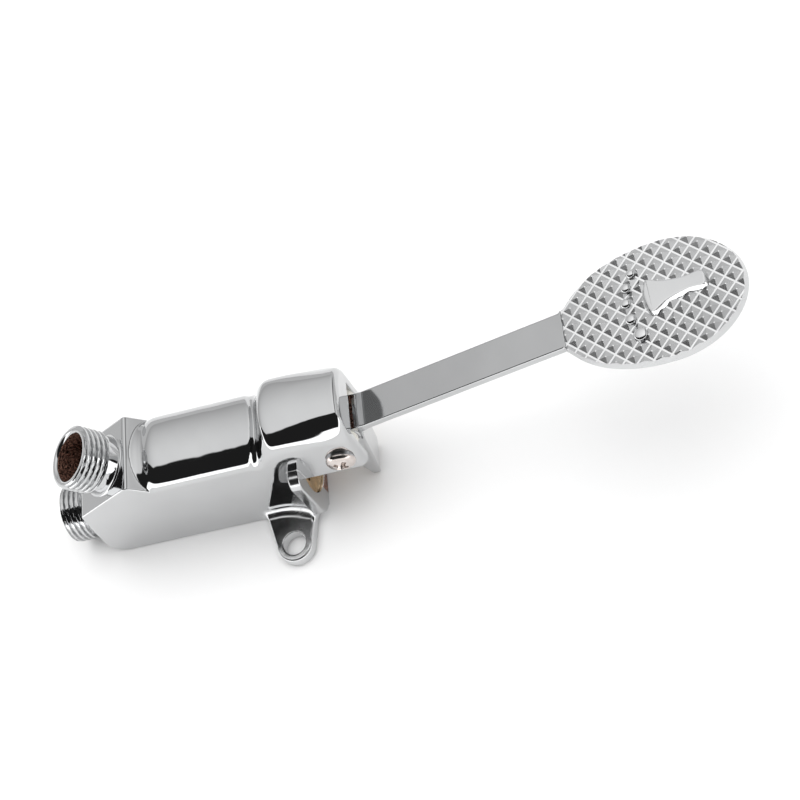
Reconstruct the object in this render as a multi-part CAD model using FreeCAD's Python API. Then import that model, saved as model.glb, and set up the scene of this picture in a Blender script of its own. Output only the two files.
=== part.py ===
import FreeCAD, Part
import math
import os

from FreeCAD import Vector

# Pedal-operated stop valve with a cast body, a foot lever and a spring-closed stem valve.
# The origin is the middle of the two floor-screw holes, on the underside of the body.
# +X runs from the pipe ends to the pedal, +Z is up, and the object is symmetric in Y.

os.makedirs("parts", exist_ok=True)

# ---------------------------------------------------------------- driving dimensions (mm)
G_HALF_RADIUS = 10.48        # G1/2 pipe thread, crest radius
BODY_HALF_WIDTH = 13.15
BORE_Z = 17.0                # height of the stem axis

# body outline, side view
APEX_X, APEX_Z = -63.4, 31.4     # where the two pipe-end faces meet
SLOPE_DEG = 31.3                 # upper pipe-end face above horizontal
CREST_X, CREST_Z = -42.0, 44.4   # end of the sloped face
HEEL_X, HEEL_Z = -66.0, 9.5      # where the lower face turns into the underside
HEEL_MID_X, HEEL_MID_Z = -64.9, 3.0
HEEL_END_X = -60.0
HOOD_FRONT_X = 33.5
HOOD_CORNER_R = 3.6
CHEEK_BOTTOM_Z = 23.2
BLANK_TOP_Z = 56.0

# top surface stations: x, height at the side edge, height at the middle, squareness
TOP_STATIONS = (
    (-46.0, 44.40, 44.40, 2.2),
    (-42.0, 44.35, 44.40, 2.2),
    (-39.6, 41.30, 43.70, 2.2),
    (-36.2, 38.00, 42.90, 2.2),
    (-32.5, 38.30, 43.30, 2.2),
    (-25.0, 38.80, 44.20, 2.2),
    (-12.0, 38.60, 44.40, 2.2),
    (-4.5, 38.20, 44.20, 2.2),
    (-0.5, 37.60, 43.90, 2.4),
    (2.5, 38.60, 44.60, 3.0),
    (6.0, 42.40, 49.00, 3.6),
    (9.5, 44.50, 50.60, 3.8),
    (14.0, 44.40, 50.80, 3.8),
    (24.0, 43.70, 50.80, 3.6),
    (30.0, 43.20, 50.80, 3.4),
    (38.0, 43.00, 50.80, 3.4),
)
TOP_HALF_SPAN = 15.0
TOP_ROWS = 15

# hood opening for the lever
SLOT_HALF_WIDTH = 8.55
WINDOW_TOP_Z = 40.2
CAVITY_TOP_Z = 43.6
FRONT_WALL = 3.2

# gland housing at the front of the body
PLATE_BACK_X, PLATE_FRONT_X = 8.3, 12.0
PLATE_HALF_WIDTH = 18.5
PLATE_TOP_Z = 31.0
PLATE_TOP_R = 4.0
PLATE_BOTTOM_R = 9.0
# concave flare from the side wall out to the plate
FLARE_FOOT_X = -7.2          # where it starts at floor level
FLARE_LEAN_DEG = 24.0        # how far its start leans towards the hood
FLARE_R = 20.0
FLARE_BITE = 0.04            # how far the flare's hollow runs into the side wall

# mounting ears
EAR_HOLE_Y = 25.9
EAR_HOLE_R = 3.8
EAR_END_R = 6.3
EAR_THICKNESS = 4.5
EAR_ROOT_Y = 13.0
EAR_BACK_ROOT_X, EAR_FRONT_ROOT_X = -9.4, 8.9
EAR_BLEND_TOP_Z = 11.0
EAR_BLEND_OUT_Y = 20.5

# pipe ends
PIPE_BORE_R = 7.8
PIPE_BORE_DEPTH = 14.0
OUTLET_MOUTH_X, OUTLET_MOUTH_Z = -58.3, 50.3
OUTLET_TILT = 90.0 - SLOPE_DEG       # axis above -X, degrees
OUTLET_NECK_R = 9.6
OUTLET_LENGTH = 15.5                 # mouth to well inside the casting
OUTLET_THREAD = 10.6
INLET_MOUTH_X, INLET_Z = -76.9, 11.2
INLET_LENGTH = 13.5
INLET_THREAD = 9.4
MOUTH_CHAMFER = 0.9
GALLERY_R = 5.0
GALLERY_Z = 33.6
GALLERY_END_X = -10.0

# bore steps of the body along the stem axis, from the front: end x, radius
COUNTERBORE_R, COUNTERBORE_X = 14.2, 8.3
THREAD_BORE_R, THREAD_BORE_X = 11.0, -2.0
CHAMBER_R, CHAMBER_X = 9.5, -18.0
SEAT_BORE_R, SEAT_BORE_X = 9.0, -22.0
VALVE_BORE_R, VALVE_BORE_X = 8.3, -40.0

# gland
GLAND_FLANGE_R = 14.0
GLAND_FACE_X = 10.9
GASKET = 0.8
GLAND_THREAD_R = 10.95
GLAND_END_X = -1.0
GLAND_POCKET_R = 5.6
GLAND_POCKET_X = 6.0
PIN_HOLE_R = 1.5
PIN_HOLE_PCD = 18.6
PIN_HOLE_DEPTH = 4.0
WIPER_X = 8.4

# stem and valve
STEM_R = 3.0
STEM_TIP_X = 26.4
STEM_DOME_R = 3.5
STEM_SHOULDER_X = -22.0
STEM_NECK_R = 2.0
STEM_END_X = -30.6
RUN_GAP = 0.05
SEAT_HOLE_R = 5.6
SEAT_LIP = 0.6
SEAL_R = 6.7
SEAL_THICKNESS = 2.2
DISC_R = 7.4
DISC_THICKNESS = 2.4
NUT_ACROSS_FLATS = 7.0
NUT_THICKNESS = 2.8
SPRING_R = 5.5
SPRING_WIRE = 0.9
SPRING_TURNS = 5.0
SPRING_WASHER = 1.2

# pivot
PIVOT_X, PIVOT_Z = 27.0, 32.1
SHANK_R = 3.0
SCREW_HEAD_R = 4.87
SCREW_HEAD_H = 2.5
LOCK_WASHER = 0.7
CROSS_WIDTH = 1.2
CROSS_SPAN = 5.0
CROSS_DEPTH = 1.5
SLEEVE_R = 4.3

# lever
LEVER_HALF_WIDTH = 6.1
ARM_THICKNESS = 3.0
ARM_SLOPE_DEG = 15.6
ARM_START_X, ARM_START_Z = 37.2, 37.0      # top face where the slope begins
PAD_SLOPE_DEG = 9.0
PAD_BEND_X = 107.5                         # where the arm's top meets the pad's top
HUB_R = 6.6
LEG_TOP_FRONT_X = 35.4
LEG_FRONT_X, LEG_BOTTOM_Z = 31.7, 1.6
LEG_BACK_X = 26.5
LEG_TOE_BACK_X = 28.6
PAD_THICKNESS = 3.5
PAD_CENTRE = 30.4       # from the bend to the pad's widest place, along the pad
PAD_HALF_WIDTH = 19.3
PAD_BACK_LENGTH = 31.2
PAD_FRONT_LENGTH = 24.7
RELIEF = 0.9

AXIS_X = Vector(1, 0, 0)
AXIS_Y = Vector(0, 1, 0)
AXIS_Z = Vector(0, 0, 1)


# ---------------------------------------------------------------- helpers
def save(name, shape):
    """Write one named piece."""
    shape.exportStep(os.path.join("parts", name + ".step"))
    print(name, len(shape.Solids), round(shape.Volume, 1), shape.isValid())


def rod_x(radius, x_from, x_to, z=BORE_Z):
    """Cylinder along X between two stations."""
    return Part.makeCylinder(radius, x_to - x_from, Vector(x_from, 0, z), AXIS_X)


def tube_x(outer, inner, x_from, x_to, z=BORE_Z):
    """Ring along X between two stations."""
    return rod_x(outer, x_from, x_to, z).cut(rod_x(inner, x_from - 1, x_to + 1, z))


def rod_y(radius, y_from, y_to, x=PIVOT_X, z=PIVOT_Z):
    """Cylinder along Y between two stations."""
    return Part.makeCylinder(radius, y_to - y_from, Vector(x, y_from, z), AXIS_Y)


def block(x_from, x_to, half_width, z_from, z_to):
    """Box centred on the plane of symmetry."""
    corner = Vector(x_from, -half_width, z_from)
    return Part.makeBox(x_to - x_from, 2 * half_width, z_to - z_from, corner)


def prism_y(points, half_width):
    """Closed side-view outline of (x, z) points, spread over the full width."""
    corners = [Vector(x, -half_width, z) for x, z in points]
    face = Part.Face(Part.makePolygon(corners + corners[:1]))
    return face.extrude(Vector(0, 2 * half_width, 0))


def outline_face(edges):
    """Face inside a closed chain of edges."""
    return Part.Face(Part.Wire(edges))


def line(a, b):
    """Straight edge."""
    return Part.makeLine(a, b)


def arc(a, mid, b):
    """Arc edge through three points."""
    return Part.Arc(a, mid, b).toShape()


def hexagon_x(across_flats, x_from, x_to):
    """Hexagonal bar along the stem axis."""
    radius = across_flats / math.sqrt(3)
    corners = []
    for k in range(7):
        angle = math.radians(60 * k)
        corners.append(Vector(x_from, radius * math.cos(angle), BORE_Z + radius * math.sin(angle)))
    return Part.Face(Part.makePolygon(corners)).extrude(Vector(x_to - x_from, 0, 0))


# ---------------------------------------------------------------- body casting
def body_blank():
    """Flat-sided blank with its two pipe-end faces, rounded at the front in plan view."""
    slope = math.tan(math.radians(SLOPE_DEG))
    top_start_x = APEX_X + (BLANK_TOP_Z - APEX_Z) / slope
    side = -BODY_HALF_WIDTH
    apex = Vector(APEX_X, side, APEX_Z)
    heel = Vector(HEEL_X, side, HEEL_Z)
    heel_mid = Vector(HEEL_MID_X, side, HEEL_MID_Z)
    heel_end = Vector(HEEL_END_X, side, 0)
    front_low = Vector(HOOD_FRONT_X, side, 0)
    front_high = Vector(HOOD_FRONT_X, side, BLANK_TOP_Z)
    back_high = Vector(top_start_x, side, BLANK_TOP_Z)
    face = outline_face([
        line(apex, heel), arc(heel, heel_mid, heel_end), line(heel_end, front_low),
        line(front_low, front_high), line(front_high, back_high), line(back_high, apex),
    ])
    blank = face.extrude(Vector(0, 2 * BODY_HALF_WIDTH, 0))
    upright = []
    for edge in blank.Edges:
        box = edge.BoundBox
        if box.XMin > HOOD_FRONT_X - 0.01 and box.YLength < 0.01 and box.ZLength > 1:
            upright.append(edge)
    return blank.makeFillet(HOOD_CORNER_R, upright)


def top_cutter():
    """Everything above the arched top: end block, barrel, groove and hood."""
    grid = []
    for x, edge_z, middle_z, power in TOP_STATIONS:
        row = []
        for k in range(TOP_ROWS):
            y = TOP_HALF_SPAN * (2 * k / (TOP_ROWS - 1) - 1)
            drop = abs(y / BODY_HALF_WIDTH) ** power
            row.append(Vector(x, y, middle_z - (middle_z - edge_z) * drop))
        grid.append(row)
    surface = Part.BSplineSurface()
    surface.interpolate(grid)
    return surface.toShape().extrude(Vector(0, 0, BLANK_TOP_Z))


def gland_plate(x_from, edge_gap=0.0):
    """Upright plate around the gland, from a given station to its front, with rounded corners."""
    half = PLATE_HALF_WIDTH - edge_gap
    top, r_low, r_top = PLATE_TOP_Z - edge_gap, PLATE_BOTTOM_R, PLATE_TOP_R
    diagonal = 1 - math.sqrt(0.5)

    def at(y, z):
        return Vector(x_from, y, z)

    edges = []
    for s in (1, -1):
        edges.append([
            line(at(0, 0), at(s * (half - r_low), 0)),
            arc(at(s * (half - r_low), 0), at(s * (half - r_low * diagonal), r_low * diagonal),
                at(s * half, r_low)),
            line(at(s * half, r_low), at(s * half, top - r_top)),
            arc(at(s * half, top - r_top), at(s * (half - r_top * diagonal), top - r_top * diagonal),
                at(s * (half - r_top), top)),
            line(at(s * (half - r_top), top), at(0, top)),
        ])
    face = outline_face(edges[0] + edges[1][::-1])
    return face.extrude(Vector(PLATE_FRONT_X - x_from, 0, 0))


def flare_cutter(side):
    """Hollow beside the flare: a leaning quarter-round that runs out into the side wall."""
    wall = side * (BODY_HALF_WIDTH - FLARE_BITE)
    out = wall + side * FLARE_R
    quarter = math.sqrt(0.5) * FLARE_R
    far_x = -3 * FLARE_R
    face = outline_face([
        line(Vector(far_x, wall, 0), Vector(0, wall, 0)),
        arc(Vector(0, wall, 0), Vector(quarter, out - side * quarter, 0), Vector(FLARE_R, out, 0)),
        line(Vector(FLARE_R, out, 0), Vector(far_x, out, 0)),
        line(Vector(far_x, out, 0), Vector(far_x, wall, 0)),
    ])
    face.translate(Vector(0, 0, -FLARE_R))
    cutter = face.extrude(Vector(0, 0, 4 * FLARE_R))
    cutter.rotate(Vector(0, 0, 0), AXIS_Y, FLARE_LEAN_DEG)
    cutter.translate(Vector(FLARE_FOOT_X, 0, 0))
    return cutter


def gland_housing():
    """Gland plate with the flares that join it to the side walls."""
    housing = gland_plate(FLARE_FOOT_X - 2, 0.3)
    for side in (1, -1):
        housing = housing.cut(flare_cutter(side))
    return housing.fuse(gland_plate(PLATE_BACK_X))


def mounting_ear(side):
    """Floor ear with a rounded end, a screw hole and a concave blend up to the side wall."""
    root, end = EAR_ROOT_Y - 1, EAR_HOLE_Y

    def at(x, y):
        return Vector(x, side * y, 0)

    plan = outline_face([
        line(at(EAR_FRONT_ROOT_X, root), at(EAR_BACK_ROOT_X, root)),
        line(at(EAR_BACK_ROOT_X, root), at(-EAR_END_R, end)),
        arc(at(-EAR_END_R, end), at(0, end + EAR_END_R), at(EAR_END_R, end)),
        line(at(EAR_END_R, end), at(EAR_FRONT_ROOT_X, root)),
    ])
    ear = plan.extrude(Vector(0, 0, EAR_THICKNESS))

    def up(y, z):
        return Vector(EAR_BACK_ROOT_X + 1.5, side * y, z)

    low = EAR_THICKNESS - 1
    blend = outline_face([
        line(up(root, low), up(root, EAR_BLEND_TOP_Z)),
        line(up(root, EAR_BLEND_TOP_Z), up(EAR_ROOT_Y, EAR_BLEND_TOP_Z)),
        arc(up(EAR_ROOT_Y, EAR_BLEND_TOP_Z), up(15.2, 6.5), up(EAR_BLEND_OUT_Y, EAR_THICKNESS)),
        line(up(EAR_BLEND_OUT_Y, EAR_THICKNESS), up(EAR_BLEND_OUT_Y, low)),
        line(up(EAR_BLEND_OUT_Y, low), up(root, low)),
    ])
    reach = EAR_FRONT_ROOT_X - EAR_BACK_ROOT_X - 3.0
    return ear.fuse(blend.extrude(Vector(reach, 0, 0)))


def pipe_end(mouth, inward, length, thread):
    """Plain threaded spigot, drawn at the crest radius, with a slimmer neck behind the thread."""
    spigot = Part.makeCylinder(G_HALF_RADIUS, thread, mouth, inward)
    neck = Part.makeCylinder(OUTLET_NECK_R, length, mouth, inward)
    cone = Part.makeCone(G_HALF_RADIUS - MOUTH_CHAMFER, G_HALF_RADIUS, MOUTH_CHAMFER, mouth, inward)
    tip = Part.makeCylinder(G_HALF_RADIUS + 1, MOUTH_CHAMFER, mouth, inward).cut(cone)
    return spigot.fuse(neck).cut(tip)


def outlet_axis():
    """Mouth centre and inward direction of the upper pipe end."""
    tilt = math.radians(OUTLET_TILT)
    mouth = Vector(OUTLET_MOUTH_X, 0, OUTLET_MOUTH_Z)
    return mouth, Vector(math.cos(tilt), 0, -math.sin(tilt))


def under_hood_cutter():
    """Space in front of the gland plate and below the cheeks, and the lever's slot."""
    far_x = HOOD_FRONT_X + 5
    low = CHEEK_BOTTOM_Z
    open_side = prism_y([(PLATE_FRONT_X, -1), (far_x, -1), (far_x, low), (PLATE_FRONT_X, low)], 30)
    cavity = block(PLATE_FRONT_X, HOOD_FRONT_X - FRONT_WALL, SLOT_HALF_WIDTH, -1, CAVITY_TOP_Z)
    window = block(PLATE_FRONT_X + 5, far_x, SLOT_HALF_WIDTH, -1, WINDOW_TOP_Z)
    return open_side.fuse([cavity, window])


def water_ways():
    """Inlet bore, stem bores, outlet chamber, gallery and outlet bore."""
    mouth, inward = outlet_axis()
    inlet = rod_x(PIPE_BORE_R, INLET_MOUTH_X - 1, VALVE_BORE_X - 4, INLET_Z)
    entry = rod_x(VALVE_BORE_R - 1.5, VALVE_BORE_X - 8, VALVE_BORE_X + 1)
    cuts = [entry]
    steps = (
        (COUNTERBORE_R, COUNTERBORE_X, PLATE_FRONT_X + 1),
        (THREAD_BORE_R, THREAD_BORE_X, COUNTERBORE_X + 1),
        (CHAMBER_R, CHAMBER_X, THREAD_BORE_X + 1),
        (SEAT_BORE_R, SEAT_BORE_X, CHAMBER_X + 1),
        (VALVE_BORE_R, VALVE_BORE_X, SEAT_BORE_X + 1),
    )
    for radius, x_from, x_to in steps:
        cuts.append(rod_x(radius, x_from, x_to))
    outlet_length = (OUTLET_MOUTH_Z - GALLERY_Z) / -inward.z
    cuts.append(Part.makeCylinder(PIPE_BORE_R, PIPE_BORE_DEPTH + 1, mouth - inward, inward))
    cuts.append(Part.makeCylinder(GALLERY_R, outlet_length + 1, mouth - inward, inward))
    elbow_x = mouth.x + inward.x * outlet_length
    cuts.append(rod_x(GALLERY_R, elbow_x, GALLERY_END_X, GALLERY_Z))
    cuts.append(Part.makeSphere(GALLERY_R, Vector(elbow_x, 0, GALLERY_Z)))
    cuts.append(Part.makeSphere(GALLERY_R, Vector(GALLERY_END_X, 0, GALLERY_Z)))
    cuts.append(Part.makeCylinder(GALLERY_R, GALLERY_Z - BORE_Z, Vector(GALLERY_END_X, 0, BORE_Z), AXIS_Z))
    return inlet.fuse(cuts)


def body_casting():
    """Cast body: pipe ends, barrel, hood with its cheeks, gland plate and ears."""
    body = body_blank().cut(top_cutter()).cut(under_hood_cutter())
    mouth, inward = outlet_axis()
    additions = [
        gland_housing(),
        pipe_end(mouth, inward, OUTLET_LENGTH, OUTLET_THREAD),
        pipe_end(Vector(INLET_MOUTH_X, 0, INLET_Z), AXIS_X, INLET_LENGTH, INLET_THREAD),
    ]
    for side in (1, -1):
        additions.append(mounting_ear(side))
    body = body.fuse(additions).cut(water_ways())
    for side in (1, -1):
        hole = Part.makeCylinder(EAR_HOLE_R, EAR_BLEND_TOP_Z + 2, Vector(0, side * EAR_HOLE_Y, -1), AXIS_Z)
        body = body.cut(hole)
    body = body.cut(rod_y(SHANK_R + RUN_GAP, -BODY_HALF_WIDTH - 1, 0))
    return body.cut(rod_y(SHANK_R, 0, BODY_HALF_WIDTH + 1)).removeSplitter()


# ---------------------------------------------------------------- valve cartridge
def seat_insert():
    """Ring pressed into the body, with a raised lip that the rubber seal closes on."""
    ring = tube_x(SEAT_BORE_R, SEAT_HOLE_R, SEAT_BORE_X, CHAMBER_X - 0.5)
    lip = tube_x(SEAT_HOLE_R + 0.8, SEAT_HOLE_R, SEAT_BORE_X - SEAT_LIP, SEAT_BORE_X + 0.1)
    groove = tube_x(SEAT_BORE_R + 1, SEAT_BORE_R - 1.2, SEAT_BORE_X + 1.1, SEAT_BORE_X + 2.7)
    return ring.fuse(lip).cut(groove).removeSplitter()


def seat_o_ring():
    """Seal in the seat insert's outer groove, squeezed to a flat-sided ring."""
    return tube_x(SEAT_BORE_R, SEAT_BORE_R - 1.2, SEAT_BORE_X + 1.15, SEAT_BORE_X + 2.65)


def valve_stem():
    """Plunger: domed tip outside, shoulder and slim neck inside."""
    shank = rod_x(STEM_R, STEM_SHOULDER_X, STEM_TIP_X)
    dome = Part.makeSphere(STEM_DOME_R, Vector(STEM_TIP_X - STEM_DOME_R, 0, BORE_Z))
    tip_zone = rod_x(STEM_R, STEM_TIP_X - STEM_DOME_R + 1.8, STEM_TIP_X + 1)
    shank = shank.cut(tip_zone).fuse(tip_zone.common(dome))
    neck = rod_x(STEM_NECK_R, STEM_END_X, STEM_SHOULDER_X)
    return shank.fuse(neck).removeSplitter()


def seal_stack():
    """Axial stations of the pieces held on the stem's neck, from the shoulder back."""
    washer_back = STEM_SHOULDER_X - SEAT_LIP
    seal_back = washer_back - SEAL_THICKNESS
    disc_back = seal_back - DISC_THICKNESS
    nut_back = disc_back - NUT_THICKNESS
    return washer_back, seal_back, disc_back, nut_back


def seal_washer():
    """Metal washer between the stem's shoulder and the rubber seal."""
    return tube_x(4.3, STEM_NECK_R, seal_stack()[0], STEM_SHOULDER_X)


def valve_seal():
    """Flat rubber disc that closes on the seat's lip."""
    washer_back, seal_back = seal_stack()[:2]
    return tube_x(SEAL_R, STEM_NECK_R, seal_back, washer_back)


def valve_disc():
    """Brass cup that backs the seal and takes the spring."""
    washer_back, seal_back, disc_back = seal_stack()[:3]
    cup = tube_x(DISC_R, STEM_NECK_R, disc_back, seal_back)
    rim = tube_x(DISC_R, SEAL_R, seal_back - 0.1, washer_back - 0.9)
    return cup.fuse(rim).removeSplitter()


def disc_nut():
    """Hexagon nut on the end of the stem."""
    disc_back, nut_back = seal_stack()[2:]
    nut = hexagon_x(NUT_ACROSS_FLATS, nut_back, disc_back)
    return nut.cut(rod_x(STEM_NECK_R, nut_back - 1, disc_back + 1))


def spring_washer():
    """Perforated washer at the bottom of the valve bore, where the spring stands."""
    x_from = VALVE_BORE_X
    washer = tube_x(VALVE_BORE_R - RUN_GAP, 3.2, x_from, x_from + SPRING_WASHER)
    for k in range(6):
        angle = math.radians(60 * k + 30)
        y = 4.2 * math.cos(angle)
        z = BORE_Z + 4.2 * math.sin(angle)
        hole = Part.makeCylinder(0.5, SPRING_WASHER + 2, Vector(x_from - 1, y, z), AXIS_X)
        washer = washer.cut(hole)
    return washer


def return_spring():
    """Compression spring between the washer and the valve disc: half turns that lean and meet smoothly."""
    x_from = VALVE_BORE_X + SPRING_WASHER + SPRING_WIRE / 2 + 0.05
    x_to = seal_stack()[2] - SPRING_WIRE / 2 - 0.05
    half_turns = round(2 * SPRING_TURNS)
    rise = (x_to - x_from) / half_turns
    halves = []
    for k in range(half_turns):
        side = 1 if k % 2 == 0 else -1
        start = Vector(x_from + k * rise, 0, BORE_Z + side * SPRING_R)
        section = Part.Face(Part.Wire(Part.makeCircle(SPRING_WIRE / 2, start, AXIS_Y)))
        centre = Vector(x_from + (k + 0.5) * rise, 0, BORE_Z)
        halves.append(section.revolve(centre, Vector(SPRING_R, 0, side * rise / 2), 180))
    return halves[0].fuse(halves[1:])


# ---------------------------------------------------------------- gland
def gland_plug():
    """Screwed brass plug that guides the stem, with two holes for a pin spanner."""
    flange = rod_x(GLAND_FLANGE_R, COUNTERBORE_X + GASKET, GLAND_FACE_X)
    thread = rod_x(GLAND_THREAD_R, GLAND_END_X, COUNTERBORE_X + GASKET)
    plug = flange.fuse(thread)
    plug = plug.cut(rod_x(STEM_R + RUN_GAP, GLAND_END_X - 1, GLAND_FACE_X + 1))
    plug = plug.cut(rod_x(GLAND_POCKET_R, GLAND_END_X - 1, GLAND_POCKET_X))
    plug = plug.cut(rod_x(STEM_R + 1.3, WIPER_X, GLAND_FACE_X + 1))
    for side in (1, -1):
        centre = Vector(GLAND_FACE_X - PIN_HOLE_DEPTH, side * PIN_HOLE_PCD / 2, BORE_Z)
        plug = plug.cut(Part.makeCylinder(PIN_HOLE_R, PIN_HOLE_DEPTH + 1, centre, AXIS_X))
    return plug.removeSplitter()


def gland_gasket():
    """Fibre ring under the plug's flange."""
    return tube_x(GLAND_FLANGE_R - 0.2, GLAND_THREAD_R + 0.05, COUNTERBORE_X, COUNTERBORE_X + GASKET)


def gland_bush():
    """Plastic guide bush in the plug's pocket."""
    return tube_x(GLAND_POCKET_R, STEM_R + RUN_GAP, 2.6, GLAND_POCKET_X)


def stem_o_rings():
    """Two O-rings behind the bush, each drawn as it sits, squeezed flat on the stem."""
    rings = []
    for x_from in (-0.2, 1.2):
        ring = tube_x(GLAND_POCKET_R, STEM_R + 0.02, x_from, x_from + 1.3)
        rings.append(ring)
    return Part.makeCompound(rings)


def pocket_ring():
    """Snap ring that holds the O-rings in the plug."""
    return tube_x(GLAND_POCKET_R, STEM_R + 0.6, GLAND_END_X, -0.3)


def stem_wiper():
    """Rubber wiper where the stem leaves the plug."""
    return tube_x(STEM_R + 1.3, STEM_R + 0.02, WIPER_X, GLAND_FACE_X + 0.3)


# ---------------------------------------------------------------- pivot
def pivot_screw():
    """Cross-recess pan-head screw through both cheeks."""
    head_y = -BODY_HALF_WIDTH - LOCK_WASHER
    shank = rod_y(SHANK_R, head_y, BODY_HALF_WIDTH - 0.2)
    dome_r = (SCREW_HEAD_R ** 2 + SCREW_HEAD_H ** 2) / (2 * SCREW_HEAD_H) * 1.05
    dome = Part.makeSphere(dome_r, Vector(PIVOT_X, head_y - SCREW_HEAD_H + dome_r, PIVOT_Z))
    head = rod_y(SCREW_HEAD_R, head_y - SCREW_HEAD_H, head_y).common(dome)
    screw = shank.fuse(head)
    half, wide = CROSS_WIDTH / 2, CROSS_SPAN / 2
    for across, up in ((half, wide), (wide, half)):
        corner = Vector(PIVOT_X - across, head_y - SCREW_HEAD_H - 1, PIVOT_Z - up)
        screw = screw.cut(Part.makeBox(2 * across, CROSS_DEPTH + 1, 2 * up, corner))
    return screw.removeSplitter()


def pivot_lock_washer():
    """Spring washer under the screw's head."""
    ring = rod_y(4.6, -BODY_HALF_WIDTH - LOCK_WASHER, -BODY_HALF_WIDTH)
    return ring.cut(rod_y(SHANK_R + RUN_GAP, -BODY_HALF_WIDTH - 2, 0))


def thrust_washers():
    """Two thick washers that centre the lever between the cheeks."""
    gap = 0.1
    rings = []
    for side in (1, -1):
        near = LEVER_HALF_WIDTH + gap
        y_from = min(side * near, side * SLOT_HALF_WIDTH)
        y_to = max(side * near, side * SLOT_HALF_WIDTH)
        ring = rod_y(HUB_R - 0.4, y_from, y_to)
        rings.append(ring.cut(rod_y(SHANK_R + RUN_GAP, y_from - 1, y_to + 1)))
    return Part.makeCompound(rings)


def lever_sleeve():
    """Brass bearing sleeve pressed into the lever's hub."""
    sleeve = rod_y(SLEEVE_R, -LEVER_HALF_WIDTH, LEVER_HALF_WIDTH)
    return sleeve.cut(rod_y(SHANK_R + RUN_GAP, -LEVER_HALF_WIDTH - 1, LEVER_HALF_WIDTH + 1))


# ---------------------------------------------------------------- lever
def arm_top_z(x):
    """Height of the arm's sloping top face."""
    return ARM_START_Z + math.tan(math.radians(ARM_SLOPE_DEG)) * (x - ARM_START_X)


def lever_side():
    """Arm, hub and downward leg in side view, as one plate-like solid."""
    top_bend = Vector(PAD_BEND_X, 0, arm_top_z(PAD_BEND_X))
    slope = math.radians(ARM_SLOPE_DEG)
    down = Vector(math.sin(slope), 0, -math.cos(slope)) * ARM_THICKNESS
    arm_low_far = top_bend + down
    arm_low_near = Vector(ARM_START_X + 1.5, 0, arm_top_z(ARM_START_X + 1.5)) + down
    points = [
        (PIVOT_X, ARM_START_Z + 1.0),
        (ARM_START_X - 4.5, ARM_START_Z - 0.4),
        (ARM_START_X, ARM_START_Z),
        (top_bend.x, top_bend.z),
        (arm_low_far.x, arm_low_far.z),
        (arm_low_near.x, arm_low_near.z),
        (LEG_TOP_FRONT_X, arm_low_near.z - 1.6),
        (LEG_TOP_FRONT_X - 1.0, arm_low_near.z - 6.0),
        (LEG_FRONT_X, LEG_BOTTOM_Z + 3.0),
        (LEG_FRONT_X - 0.6, LEG_BOTTOM_Z),
        (LEG_TOE_BACK_X, LEG_BOTTOM_Z),
        (LEG_TOE_BACK_X - 1.2, LEG_BOTTOM_Z + 5.0),
        (LEG_BACK_X, LEG_BOTTOM_Z + 9.0),
        (LEG_BACK_X, PIVOT_Z - HUB_R + 1.5),
        (PIVOT_X - HUB_R + 1.5, PIVOT_Z - 1.0),
    ]
    side = prism_y(points, LEVER_HALF_WIDTH)
    return side.fuse(rod_y(HUB_R, -LEVER_HALF_WIDTH, LEVER_HALF_WIDTH))


def pad_outline():
    """Egg-shaped pad outline, drawn flat with its bend at the origin."""
    points = []
    steps = 48
    for k in range(steps):
        angle = 2 * math.pi * k / steps
        reach = PAD_FRONT_LENGTH if math.cos(angle) > 0 else PAD_BACK_LENGTH
        points.append(Vector(PAD_CENTRE + reach * math.cos(angle), PAD_HALF_WIDTH * math.sin(angle), 0))
    curve = Part.BSplineCurve()
    curve.interpolate(Points=points, PeriodicFlag=True)
    return Part.Face(Part.Wire(curve.toShape()))


def foot_relief():
    """Raised foot sign on the pad: a sole and five toes, drawn flat."""
    sole = Part.BSplineCurve()
    outline = ((24.9, 1.2), (24.6, 5.4), (26.4, 7.3), (31.0, 5.6), (37.0, 4.7), (42.0, 4.8),
               (43.6, 2.4), (42.2, -0.4), (37.0, 0.0), (31.6, -1.2), (27.6, -3.4), (25.8, -2.4))
    sole.interpolate(Points=[Vector(x, y, 0) for x, y in outline], PeriodicFlag=True)
    pieces = [Part.Face(Part.Wire(sole.toShape())).extrude(Vector(0, 0, RELIEF))]
    toes = ((22.0, -9.3, 1.7), (19.9, -3.5, 1.2), (19.3, 1.9, 1.1), (20.6, 6.6, 1.0), (22.4, 10.6, 0.9))
    for x, y, radius in toes:
        pieces.append(Part.makeCylinder(radius, RELIEF, Vector(x, y, 0)))
    return pieces


def lever():
    """One-piece lever: leg, hub, arm, flared neck and foot pad."""
    pad = pad_outline().extrude(Vector(0, 0, -PAD_THICKNESS))
    neck_points = [(-6, 6.1), (0, 6.1), (3.2, 7.2), (5.6, 9.6), (14, 12)]
    corners = [Vector(x, y, 0) for x, y in neck_points]
    corners += [Vector(x, -y, 0) for x, y in reversed(neck_points)]
    neck = Part.Face(Part.makePolygon(corners + corners[:1])).extrude(Vector(0, 0, -ARM_THICKNESS))
    flat = pad.fuse([neck] + foot_relief())
    flat.rotate(Vector(0, 0, 0), AXIS_Y, -PAD_SLOPE_DEG)
    flat.translate(Vector(PAD_BEND_X, 0, arm_top_z(PAD_BEND_X)))
    whole = lever_side().fuse(flat)
    hole = rod_y(SLEEVE_R, -LEVER_HALF_WIDTH - 1, LEVER_HALF_WIDTH + 1)
    return whole.cut(hole).removeSplitter()


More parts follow.
